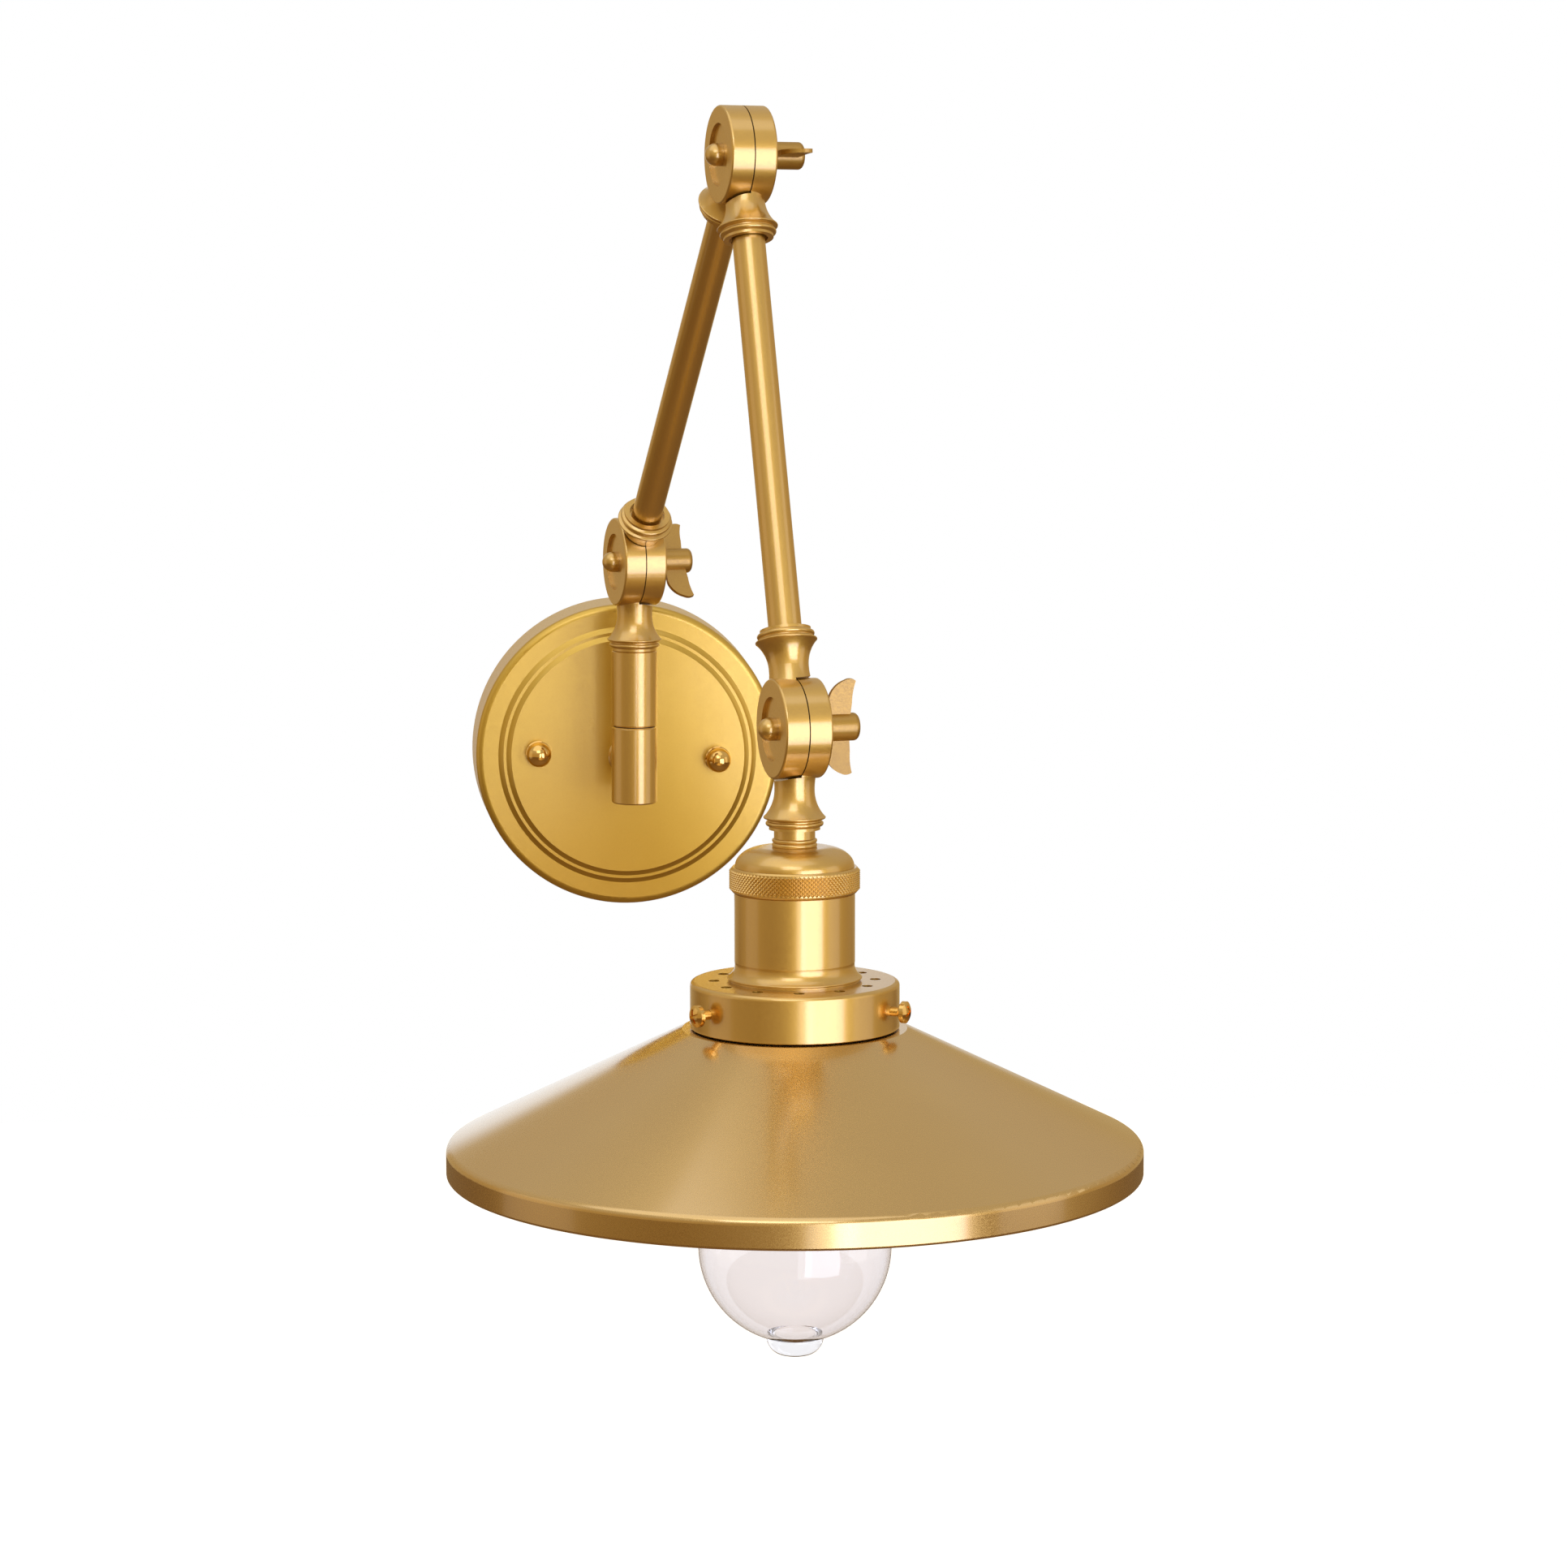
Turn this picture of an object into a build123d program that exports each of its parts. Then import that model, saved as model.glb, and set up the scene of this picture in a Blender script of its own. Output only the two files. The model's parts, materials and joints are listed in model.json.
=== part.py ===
from build123d import *
from math import atan2, cos, degrees, pi, radians, sin, sqrt, tan
import os

# Articulating wall lamp. Millimetres. The origin is the centre of the wall plate on the wall
# plane: +X runs right along the wall, +Y into the wall, +Z up. The lamp stands out towards -Y.
# The rest pose is the one in the photograph: the arms swung a little to the right, the lower
# arm leaning out, the upper arm coming back down, and the shade hanging level.

# ---------------------------------------------------------------- rest pose (degrees)
SWIVEL_REST = 11.2  # arms from the plate's normal, towards +X
LOWER_REST = 41.7  # lower arm from upright, leaning out
UPPER_REST = 18.5  # upper arm from hanging straight down, leaning out
HEAD_REST = 1.5  # holder from hanging straight down, leaning out
PLATE_TURN = 2.2  # the plate and its studs sit turned by this much on the bar, right side down

# ---------------------------------------------------------------- clearances
SLIP = 0.05  # radial play of a shaft or screw in its hole
SEAT = 0.02  # gap left between two faces that are pressed together
BODY_GAP = 0.3  # gap between pieces that move past each other

# ---------------------------------------------------------------- wall plate
PLATE_DIA = 117.4
PLATE_DEPTH = 26.0  # wall to the outer band of the face
PLATE_WALL = 1.2
PLATE_SIDE_TAPER = 0.6  # the side draws in by this much towards the face
PLATE_EDGE_R = 2.6
FIELD_RISE = 3.0  # raised field over the outer band
FIELD_DIA = 89.6  # flat top of the field
STEP_DIA = 99.4  # foot of the step
STEP_LEDGE = 1.1  # width of the fine ledge half way up the step

STUD_SPACING = 69.0
STUD_DIA = 4.0
CAP_NUT_DIA = 9.4
CAP_NUT_BASE_DIA = 9.8
CAP_NUT_BASE_H = 1.6
CAP_NUT_BLIND = 5.2  # stud length inside the cap nut

BAR_LENGTH = 92.0
BAR_WIDTH = 17.0
BAR_THICK = 1.8
STUD_SLOT_LENGTH = 9.0  # upright slots in the bar let the plate be set level
WALL_SLOT_SPACING = 46.0
WALL_SLOT_LENGTH = 12.0
WALL_SLOT_WIDTH = 4.5
LOCK_NUT_FLATS = 7.0
LOCK_NUT_H = 3.0
GROUND_SCREW_X = 11.5
GROUND_SCREW_DIA = 4.0
GROUND_HEAD_FLATS = 7.0
GROUND_HEAD_H = 3.0

# ---------------------------------------------------------------- swivel on the plate
AXIS_OUT = 58.5  # wall to the swivel's upright axis
BARREL_DIA = 17.1
BARREL_LOW = -13.7  # bottom of the fixed barrel
SEAM_Z = 15.2  # seam between the fixed and the turning barrel
SEAM_GAP = 0.3
SLEEVE_TOP = 44.0
BARREL_EDGE = 0.5
SPINDLE_DIA = 11.0
SPINDLE_BORE = 8.0
SPINDLE_LOW = -10.0
RETAINER_DIA = 14.0
RETAINER_H = 2.6
PLUG_H = 1.8
BOSS_DIA = 13.6
BOSS_FLANGE_DIA = 15.6
BOSS_FLANGE_H = 1.6
POST_DIA = 9.6
POST_BORE = 6.4
POST_INNER = 15.0  # how far the post reaches back inside the plate
POST_IN_BARREL = 2.0  # and how far into the swivel's barrel
POST_NUT_FLATS = 14.0
POST_NUT_H = 3.4
STAR_DIA = 15.0
STAR_H = 0.9
STAR_TEETH = 10

# ---------------------------------------------------------------- arms and joints
ARM_LENGTH = 196.0  # joint centre to joint centre
TUBE_DIA = 11.0
TUBE_WALL = 1.2
NECK_LENGTH = 33.1  # joint centre to the end of the swivel's, upper arm's and holder's necks
LOWER_NECK_LENGTH = 25.6  # the same for the two shorter castings of the lower arm
UPPER_NECK_LENGTH = 29.5  # and for the casting at the upper arm's elbow end
SOCKET_DEPTH = 6.2  # how far a tube goes into a neck
SOCKET_MOUTH_DIA = 13.0
SOCKET_MOUTH_DEPTH = 2.2

DISC_DIA = 32.8
DISC_HALF = 8.0  # seam plane to a disc's outer face
DISC_GAP = 0.4  # gap between the two discs, filled by the friction washer
DISC_EDGE = 0.8
DISH_DIA = 21.0  # shallow dish in a disc's outer face
DISH_DEPTH = 1.1
POCKET_DIA = 23.0  # wire pocket in a disc's inner face
POCKET_CORE_DIA = 10.0
POCKET_DEPTH = 4.2
WIRE_BORE = 5.0
NECK_ROOT_R = 7.1
NECK_WAIST_R = 6.6
NECK_FLARE_R = 10.2
NECK_BEAD_R = 9.5
NECK_GROOVE_R = 8.9
NECK_END_R = 8.4
NECK_FLARE_BACK = 4.0  # distances back from the neck's end
NECK_BEAD_BACK = 2.0
NECK_WAIST_BACK = 12.7
NECK_ROOT_BACK = 18.1
NECK_START_BACK = 20.1

BOLT_DIA = 5.0
BOLT_HEAD_DIA = 7.6
BOLT_HEAD_OUT = 4.4  # dome's top beyond the disc's outer face
BOLT_BACK = 3.0  # bolt's end from the wing nut's closed end
WASHER_DIA = 13.0
WASHER_H = 1.3
FRICTION_WASHER_DIA = 31.0

# wing nut: lengths are measured along the joint axis from the nut's seat
HUB_DIA = 9.2
HUB_LENGTH = 13.4
HUB_EDGE = 1.6
WING_SPAN = 31.2
WING_ROOT_THICK = 2.4
WING_TIP_THICK = 1.3
WING_TURN = {"base": -37.0, "elbow": 85.0, "head": 6.0}  # about the joint axis, from upright

# ---------------------------------------------------------------- lamp holder
# depths are measured down the holder's axis from the head joint's centre
NIPPLE_DIA = 13.5
NIPPLE_SPIGOT_DIA = 10.9
NIPPLE_BORE = 8.0
NIPPLE_COLLAR_TOP = 36.0
COLLAR_DIA = 14.8
CAP_TOP = 38.8
CAP_FLAT_DIA = 20.0
CAP_DIA = 39.2
CAP_WALL = 1.1
RING_TOP = 45.3
RING_BOTTOM = 53.6
RING_DIA = 43.0
RING_EDGE = 0.5
SKIRT_DIA = 37.6  # the cap's and the shell's threaded skirts inside the ring
SHELL_DIA = 39.6
SHELL_WALL = 1.0
FLARE_START = 76.6
FLARE_DIA = 44.3
FLARE_DEPTH = 82.0
FLARE_FOOT_DIA = 42.8
HOLDER_NUT_FLATS = 14.0
HOLDER_NUT_H = 3.2

GALLERY_TOP = 83.0
GALLERY_BOTTOM = 98.4
GALLERY_DIA = 68.9
GALLERY_WALL = 1.2
GALLERY_EDGE_R = 1.5
VENT_COUNT = 12
VENT_DIA = 3.6
VENT_CIRCLE_DIA = 53.0

SCREW_DEPTH = 91.0
SCREW_ANGLES = (-162.0, -42.0, 78.0)  # about the holder's axis, from the joint axis
SCREW_SHANK_DIA = 3.1
SCREW_HEAD_DIA = 7.2
SCREW_HEAD_H = 3.2
SCREW_HEAD_IN = 37.6  # head's inner face from the holder's axis
SCREW_SLOT_W = 0.9
SCREW_SLOT_DEPTH = 1.1

INSULATOR_TOP = 50.2
INSULATOR_FLOOR = 62.0
SCREW_SHELL_TOP = 62.0
SCREW_SHELL_BOTTOM = 86.0
BULB_CAP_DIA = 26.2  # standard screw base
SCREW_SHELL_BORE = BULB_CAP_DIA + 2 * SLIP
SCREW_SHELL_WALL = 0.4
CONTACT_WIDTH = 7.0
CONTACT_THICK = 0.5
TERMINAL_DIA = 5.6
TERMINAL_SPACING = 22.0

# ---------------------------------------------------------------- shade
SHADE_WALL = 0.8
SHADE_NECK_DIA = 58.8
SHADE_NECK_TOP = 86.2
SHADE_LIP = 1.2  # lip over the thumb screws
SHADE_SHOULDER = 98.8
SHADE_SHOULDER_DIA = 74.0
SHADE_DIA = 229.4
SHADE_CORNER = 136.9  # cone meets the upright rim
SHADE_BOTTOM = 146.2
SHADE_CORNER_R = 2.6
SHADE_HEM = 1.8  # rolled hem inside the bottom edge

# ---------------------------------------------------------------- bulb
BULB_DIA = 64.0
BULB_CENTRE = 172.0  # centre of the round end
BULB_NECK_DIA = 31.0
BULB_NECK = 92.5
BULB_TIP = 209.2
BULB_NUB_DIA = 19.0
BULB_WALL = 1.0
BULB_CAP_TOP = 68.0
BULB_CAP_BOTTOM = 93.5
BULB_CAP_WALL = 0.5
BULB_CONTACT_TOP = 64.6
BULB_CONTACT_DIA = 9.0
STEM_DIA = 8.0
STEM_BOTTOM = 150.0
FILAMENT_COUNT = 4
FILAMENT_DIA = 1.6
FILAMENT_TOP = 116.5
FILAMENT_LENGTH = 36.0
FILAMENT_RING_DIA = 17.0

# ---------------------------------------------------------------- frames of the moving groups
PLATE_FACE = PLATE_DEPTH + FIELD_RISE
SWING = radians(SWIVEL_REST)
ACROSS = Vector(cos(SWING), sin(SWING), 0)  # along every joint bolt, to the right
OUT = Vector(sin(SWING), -cos(SWING), 0)  # away from the wall
UP = Vector(0, 0, 1)


def leaning(angle, upright):
    """Direction in the arms' plane, angle degrees out from upright."""
    return upright * cos(radians(angle)) + OUT * sin(radians(angle))


LOWER_DIR = leaning(LOWER_REST, UP)
UPPER_DIR = leaning(UPPER_REST, -UP)
HEAD_DIR = leaning(HEAD_REST, -UP)
BASE_JOINT = Vector(0, -AXIS_OUT, SLEEVE_TOP + NECK_LENGTH)
ELBOW_JOINT = BASE_JOINT + LOWER_DIR * ARM_LENGTH
HEAD_JOINT = ELBOW_JOINT + UPPER_DIR * ARM_LENGTH


def standing(point, direction):
    """Place a piece drawn at the origin with its neck along +Z and its bolt along +X."""
    return Plane(origin=point, x_dir=ACROSS, z_dir=direction).location


SWIVEL_AXIS = Location((0, -AXIS_OUT, 0))
HEAD_FRAME = standing(HEAD_JOINT, -HEAD_DIR)  # depth d on the holder is z = -d here
PLATE_FRAME = Location((0, 0, 0), (0, PLATE_TURN, 0))

NODES = {}


def keep(name, shape):
    """Store one node: a single solid, or a compound of equal fasteners."""
    shape.label = name
    NODES[name] = shape
    return shape


# ---------------------------------------------------------------- drawing helpers
def closed_face(steps):
    """Face in the XZ plane. A step is a point (r, z), or (mid r, mid z, end r, end z) for an arc."""
    here = steps[0]
    edges = []
    for step in steps[1:]:
        end = step[-2:]
        if len(step) == 4:
            mid = Vector(step[0], 0, step[1])
            edges.append(ThreePointArc(Vector(here[0], 0, here[1]), mid, Vector(end[0], 0, end[1])))
        else:
            edges.append(Line(Vector(here[0], 0, here[1]), Vector(end[0], 0, end[1])))
        here = end
    first = steps[0]
    edges.append(Line(Vector(here[0], 0, here[1]), Vector(first[0], 0, first[1])))
    return make_face(edges)


def cap_arc(r, z, pole):
    """Arc step from (r, z) to the axis at the given height, with its centre on the axis."""
    rise = pole - z
    ball = (r**2 + rise**2) / (2 * abs(rise))
    centre = pole - ball if rise > 0 else pole + ball
    half = atan2(r, abs(z - centre) if (z - centre) * rise > 0 else -abs(z - centre)) / 2
    up = 1 if rise > 0 else -1
    return (ball * sin(half), centre + up * ball * cos(half), 0, pole)


def turned(steps):
    """Solid of revolution about +Z from a profile given as in closed_face."""
    return revolve(closed_face(steps), Axis.Z)


def rod(dia, low, high):
    """Round bar on +Z from low to high."""
    return Pos(0, 0, (low + high) / 2) * Cylinder(dia / 2, high - low)


def tube(outer, inner, low, high):
    """Round tube on +Z from low to high."""
    return rod(outer, low, high) - rod(inner, low - 1, high + 1)


def hex_bar(flats, low, high):
    """Hexagon bar on +Z from low to high."""
    outline = RegularPolygon(flats / 2, 6, major_radius=False)
    return Pos(0, 0, low) * extrude(outline, high - low)


def along_y(shape, y=0.0, x=0.0, z=0.0):
    """Turn a piece drawn on +Z so that it points to -Y, and put it at x, y, z."""
    return Pos(x, y, z) * Rot(90, 0, 0) * shape


def along_x(shape):
    """Turn a piece drawn on +Z so that it points to +X."""
    return Rot(0, 90, 0) * shape


# ---------------------------------------------------------------- wall plate group
def plate_profile(inset):
    """Radius and depth outline of the plate, drawn in by the wall thickness for its inside."""
    side = PLATE_DIA / 2 - inset
    face_side = side - PLATE_SIDE_TAPER
    edge = PLATE_EDGE_R - inset
    band = PLATE_DEPTH - inset
    top = PLATE_FACE - inset
    foot = STEP_DIA / 2 - inset
    field = FIELD_DIA / 2 - inset
    half_rise = (top + band) / 2
    ledge_out = (foot + field) / 2 + STEP_LEDGE / 2
    ledge_in = ledge_out - STEP_LEDGE
    corner = edge * (1 - cos(pi / 4))
    swell = 0.35 * (foot - ledge_out)
    return [
        (0, 0),
        (side, 0),
        (face_side, band - edge),
        (face_side - corner, band - corner, face_side - edge, band),
        (foot, band),
        (ledge_out + swell, half_rise - swell, ledge_out, half_rise),
        (ledge_in, half_rise),
        (field + swell, top - swell, field, top),
        (0, top),
    ]


def stud_places():
    return [-STUD_SPACING / 2, STUD_SPACING / 2]


def make_backplate():
    plate = turned(plate_profile(0))
    hollow = turned(plate_profile(PLATE_WALL)) + rod(PLATE_DIA - 2 * PLATE_WALL, -1, 0.01)
    plate -= hollow
    plate -= rod(POST_DIA + 2 * SLIP, PLATE_DEPTH, PLATE_FACE + 1)
    for x in stud_places():
        plate -= Pos(x, 0, 0) * rod(STUD_DIA + 4 * SLIP, PLATE_DEPTH - 2, PLATE_FACE + 1)
    return PLATE_FRAME * along_y(plate)


def make_mounting_bar():
    bar = Pos(0, 0, BAR_THICK / 2) * Box(BAR_LENGTH, BAR_WIDTH, BAR_THICK)
    bar = fillet(bar.edges().filter_by(Axis.Z), BAR_WIDTH * 0.3)
    slot = extrude(SlotOverall(WALL_SLOT_LENGTH, WALL_SLOT_WIDTH), BAR_THICK * 3, both=True)
    for side in (-1, 1):
        bar -= Pos(side * WALL_SLOT_SPACING / 2, 0, 0) * slot
    stud_slot = extrude(SlotOverall(STUD_SLOT_LENGTH, STUD_DIA + 2 * SLIP), BAR_THICK * 3, both=True)
    for x in stud_places():
        bar -= Pos(x, 0, 0) * Rot(0, 0, 90) * stud_slot
    bar -= rod(POST_DIA + 1.0, -1, BAR_THICK + 1)
    bar -= Pos(GROUND_SCREW_X, 0, 0) * rod(GROUND_SCREW_DIA + 2 * SLIP, -1, BAR_THICK + 1)
    return along_y(bar)


def make_studs():
    stud = rod(STUD_DIA, 0, PLATE_FACE + CAP_NUT_BLIND)
    stud = chamfer(stud.edges().group_by(Axis.Z)[-1], 0.5)
    return Compound([PLATE_FRAME * along_y(stud, x=x) for x in stud_places()])


def make_stud_lock_nuts():
    low = BAR_THICK + SEAT
    nut = hex_bar(LOCK_NUT_FLATS, low, low + LOCK_NUT_H)
    nut -= rod(STUD_DIA + 2 * SLIP, low - 1, low + LOCK_NUT_H + 1)
    return Compound([PLATE_FRAME * along_y(nut, x=x) for x in stud_places()])


def make_cap_nuts():
    seat = PLATE_FACE + SEAT
    ball = CAP_NUT_DIA / 2
    base = CAP_NUT_BASE_DIA / 2
    centre = seat + CAP_NUT_BASE_H + 0.72 * ball
    waist = sqrt(ball**2 - (centre - seat - CAP_NUT_BASE_H) ** 2)
    nut = turned(
        [
            (0, seat),
            (base - 0.3, seat),
            (base, seat + 0.3),
            (base, seat + CAP_NUT_BASE_H - 0.4),
            (base - 0.4, seat + CAP_NUT_BASE_H),
            (waist, seat + CAP_NUT_BASE_H),
            cap_arc(waist, seat + CAP_NUT_BASE_H, centre + ball),
        ]
    )
    blind = PLATE_FACE + CAP_NUT_BLIND + 0.6
    nut -= rod(STUD_DIA + 2 * SLIP, seat - 1, blind)
    return Compound([PLATE_FRAME * along_y(nut, x=x) for x in stud_places()])


def make_ground_screw():
    low = BAR_THICK + SEAT
    screw = rod(GROUND_SCREW_DIA, 0.2, low + 0.5)
    screw += rod(GROUND_HEAD_FLATS * 1.25, low, low + 0.8)
    screw += hex_bar(GROUND_HEAD_FLATS, low, low + GROUND_HEAD_H)
    slot = Box(GROUND_HEAD_FLATS * 2, 0.9, 1.4)
    screw -= Pos(0, 0, low + GROUND_HEAD_H) * slot
    return along_y(screw, x=GROUND_SCREW_X)


def make_post_nipple():
    """Threaded tube from inside the canopy, through the plate, into the barrel's boss."""
    inner_end = PLATE_FACE - POST_INNER
    outer_end = AXIS_OUT - BARREL_DIA / 2 + POST_IN_BARREL
    nipple = tube(POST_DIA, POST_BORE, inner_end, outer_end)
    return along_y(chamfer(nipple.edges().group_by(Axis.Z)[0], 0.4))


def make_post_star_washer():
    high = PLATE_FACE - PLATE_WALL - SEAT
    washer = tube(STAR_DIA, POST_DIA + 2 * SLIP, high - STAR_H, high)
    notch = Pos(STAR_DIA / 2, 0, high) * Box(2.6, 1.5, 3 * STAR_H)
    for i in range(STAR_TEETH):
        washer -= Rot(0, 0, i * 360 / STAR_TEETH) * notch
    return along_y(washer)


def make_post_lock_nut():
    high = PLATE_FACE - PLATE_WALL - STAR_H - 2 * SEAT
    nut = hex_bar(POST_NUT_FLATS, high - POST_NUT_H, high)
    nut -= rod(POST_DIA + 2 * SLIP, high - POST_NUT_H - 1, high + 1)
    return along_y(nut)


# ---------------------------------------------------------------- swivel
def make_swivel_base():
    """Fixed barrel with the boss that stands on the plate."""
    barrel = rod(BARREL_DIA, BARREL_LOW, SEAM_Z)
    barrel = chamfer(barrel.edges().group_by(Axis.Z)[-1], BARREL_EDGE)
    barrel = chamfer(barrel.edges().group_by(Axis.Z)[0], BARREL_EDGE)
    seat = PLATE_FACE + SEAT
    boss = rod(BOSS_DIA, seat, AXIS_OUT)
    flange = rod(BOSS_FLANGE_DIA, seat, seat + BOSS_FLANGE_H)
    flange = chamfer(flange.edges().group_by(Axis.Z)[-1], BOSS_FLANGE_H * 0.4)
    body = SWIVEL_AXIS * barrel + along_y(boss + flange)
    body -= SWIVEL_AXIS * rod(SPINDLE_DIA + 2 * SLIP, SPINDLE_LOW - 1, SEAM_Z + 1)
    counter = SPINDLE_LOW + RETAINER_H + 2 * BODY_GAP
    body -= SWIVEL_AXIS * rod(RETAINER_DIA + 2 * BODY_GAP, BARREL_LOW - 1, counter)
    post_end = AXIS_OUT - BARREL_DIA / 2 + POST_IN_BARREL
    body -= along_y(rod(POST_DIA + 2 * SLIP, seat - 1, post_end + 0.2))
    body -= along_y(rod(POST_BORE, seat, AXIS_OUT))
    return body


def make_swivel_plug():
    plug = rod(RETAINER_DIA + 2 * BODY_GAP - 2 * SLIP, BARREL_LOW + 0.3, BARREL_LOW + PLUG_H)
    return SWIVEL_AXIS * chamfer(plug.edges().group_by(Axis.Z)[0], 0.4)


def make_swivel_washer():
    washer = tube(BARREL_DIA - 1.6, SPINDLE_DIA + 2 * SLIP, SEAM_Z + SEAT, SEAM_Z + SEAM_GAP - SEAT)
    return SWIVEL_AXIS * washer


def make_swivel_sleeve():
    sleeve = rod(BARREL_DIA, SEAM_Z + SEAM_GAP, SLEEVE_TOP - SEAT)
    sleeve = chamfer(sleeve.edges().group_by(Axis.Z)[-1], BARREL_EDGE)
    sleeve = chamfer(sleeve.edges().group_by(Axis.Z)[0], BARREL_EDGE)
    sleeve -= rod(SPINDLE_DIA + 2 * SLIP, SEAM_Z, SLEEVE_TOP + 1)
    return SWIVEL_AXIS * sleeve


def make_swivel_spindle():
    """Hollow tube from the barrel's foot up into the casting's socket, open to the boss for wires."""
    top = SLEEVE_TOP + SOCKET_DEPTH - 0.3
    spindle = tube(SPINDLE_DIA, SPINDLE_BORE, SPINDLE_LOW, top)
    window = Pos(0, SPINDLE_DIA / 2, 0) * Box(SPINDLE_DIA * 1.2, SPINDLE_DIA, POST_BORE + 1.0)
    return SWIVEL_AXIS * Rot(0, 0, SWIVEL_REST) * (spindle - window)


def make_swivel_retainer():
    low = SPINDLE_LOW - 0.4
    high = SPINDLE_LOW + RETAINER_H
    ring = tube(RETAINER_DIA, SPINDLE_DIA + 2 * SLIP, low, high)
    return SWIVEL_AXIS * chamfer(ring.edges().group_by(Axis.Z)[0], 0.3)


# ---------------------------------------------------------------- cast knuckle
def neck_solid(end):
    """Turned neck of a casting: drawn in at the waist, flared, then a groove, a bead and an end."""
    flare = end - NECK_FLARE_BACK
    bead = end - NECK_BEAD_BACK
    waist = end - NECK_WAIST_BACK
    root = end - NECK_ROOT_BACK
    start = end - NECK_START_BACK
    return turned(
        [
            (0, start),
            (NECK_ROOT_R, start),
            (NECK_ROOT_R, root),
            (NECK_WAIST_R + 0.05, waist - 2.2, NECK_WAIST_R, waist),
            (NECK_WAIST_R + 0.95, waist + 4.6, NECK_FLARE_R - 0.3, flare - 0.4),
            (NECK_FLARE_R, flare, NECK_FLARE_R - 0.3, flare + 0.4),
            (NECK_GROOVE_R, flare + 0.9),
            (NECK_GROOVE_R, bead - 0.8),
            (NECK_BEAD_R, bead, NECK_GROOVE_R, bead + 0.8),
            (NECK_END_R, bead + 1.1),
            (NECK_END_R, end),
            (0, end),
        ]
    )


def knuckle_half(side, neck_length):
    """One cast half of a joint, on the +X side for side=1, with its neck along +Z."""
    face = DISC_GAP / 2
    disc = along_x(rod(DISC_DIA, face, DISC_HALF))
    disc = fillet(disc.edges().group_by(Axis.X)[-1], DISC_EDGE)
    dish = along_x(rod(DISH_DIA, DISC_HALF - DISH_DEPTH, DISC_HALF + 1))
    disc -= dish
    other_side = along_x(rod(DISC_DIA + 2 * BODY_GAP + 0.6, -3 * DISC_HALF, face))
    half = disc + (neck_solid(neck_length) - other_side)
    half -= dish
    core = along_x(rod(POCKET_CORE_DIA, face - 1, face + POCKET_DEPTH + 1))
    pocket = along_x(rod(POCKET_DIA, face - 2 * NECK_ROOT_R, face + POCKET_DEPTH)) - core
    half -= pocket - Pos(0, 0, DISC_DIA) * Box(2 * DISC_DIA, 2 * DISC_DIA, DISC_DIA)
    half -= along_x(rod(BOLT_DIA + 2 * SLIP, -1, DISC_HALF + 1))
    half -= rod(WIRE_BORE, POCKET_CORE_DIA / 2 + 1.5, neck_length)
    half -= rod(TUBE_DIA + 2 * SLIP, neck_length - SOCKET_DEPTH, neck_length + 1)
    half -= rod(SOCKET_MOUTH_DIA, neck_length - SOCKET_MOUTH_DEPTH, neck_length + 1)
    if side < 0:
        half = Rot(0, 0, 180) * half
    return half


def arm_tube(start, direction, near_neck, far_neck):
    """Straight tube between the sockets of two castings with necks of the given lengths."""
    low = near_neck - SOCKET_DEPTH + 0.2
    high = ARM_LENGTH - far_neck + SOCKET_DEPTH - 0.2
    body = tube(TUBE_DIA, TUBE_DIA - 2 * TUBE_WALL, low, high)
    return standing(start, direction) * body


# ---------------------------------------------------------------- joint hardware
def joint_bolt():
    """Ball-headed bolt: the head sits in the left dish, the thread ends inside the wing nut."""
    seat = -(DISC_HALF - DISH_DEPTH) - SEAT
    tip = -(DISC_HALF + BOLT_HEAD_OUT)
    ball = BOLT_HEAD_DIA / 2
    shoulder = tip + ball
    head = turned([(0, seat), (ball, seat), (ball, shoulder), cap_arc(ball, shoulder, tip)])
    end = DISC_HALF + WASHER_H - DISH_DEPTH + HUB_LENGTH - BOLT_BACK
    shank = rod(BOLT_DIA, seat - 1, end)
    return along_x(head + chamfer(shank.edges().group_by(Axis.Z)[-1], 0.5))


def friction_washer():
    half = DISC_GAP / 2 - SEAT
    return along_x(tube(FRICTION_WASHER_DIA, POCKET_DIA + 0.4, -half, half))


def wing_washer():
    low = DISC_HALF - DISH_DEPTH + SEAT
    washer = tube(WASHER_DIA, BOLT_DIA + 2 * SLIP, low, low + WASHER_H)
    return along_x(chamfer(washer.edges().group_by(Axis.Z)[-1], 0.25))


NUT_SEAT = DISC_HALF - DISH_DEPTH + WASHER_H + 2 * SEAT


def wing_outline():
    """One wing in the plane of the axis: radius across, length along the axis, from the nut's seat."""
    tip = WING_SPAN / 2
    return [
        (1.0, 2.9),
        (tip * 0.60, 2.9),
        (tip * 0.84, 4.6, tip, 8.2),
        (tip * 1.03, 10.4, tip * 0.99, 12.0),
        (tip * 0.78, 11.2, tip * 0.52, 10.9),
        (tip * 0.28, 10.5),
        (1.0, 10.5),
    ]


def wing_solid(half_turn):
    """A cast wing that thins from its root to its tip."""
    flat = closed_face(wing_outline())
    blade = extrude(flat, WING_ROOT_THICK / 2, dir=(0, 1, 0), both=True)
    reach = WING_SPAN / 2 + 1
    taper = degrees(atan2((WING_ROOT_THICK - WING_TIP_THICK) / 2, WING_SPAN / 2))
    for side in (-1, 1):
        trim = Pos(reach / 2, side * (WING_ROOT_THICK / 2 + 2), HUB_LENGTH / 2) * Box(
            reach * 1.4, 4, HUB_LENGTH * 2
        )
        blade -= Rot(0, 0, -side * taper) * trim
    return Rot(0, 0, half_turn) * blade


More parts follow.
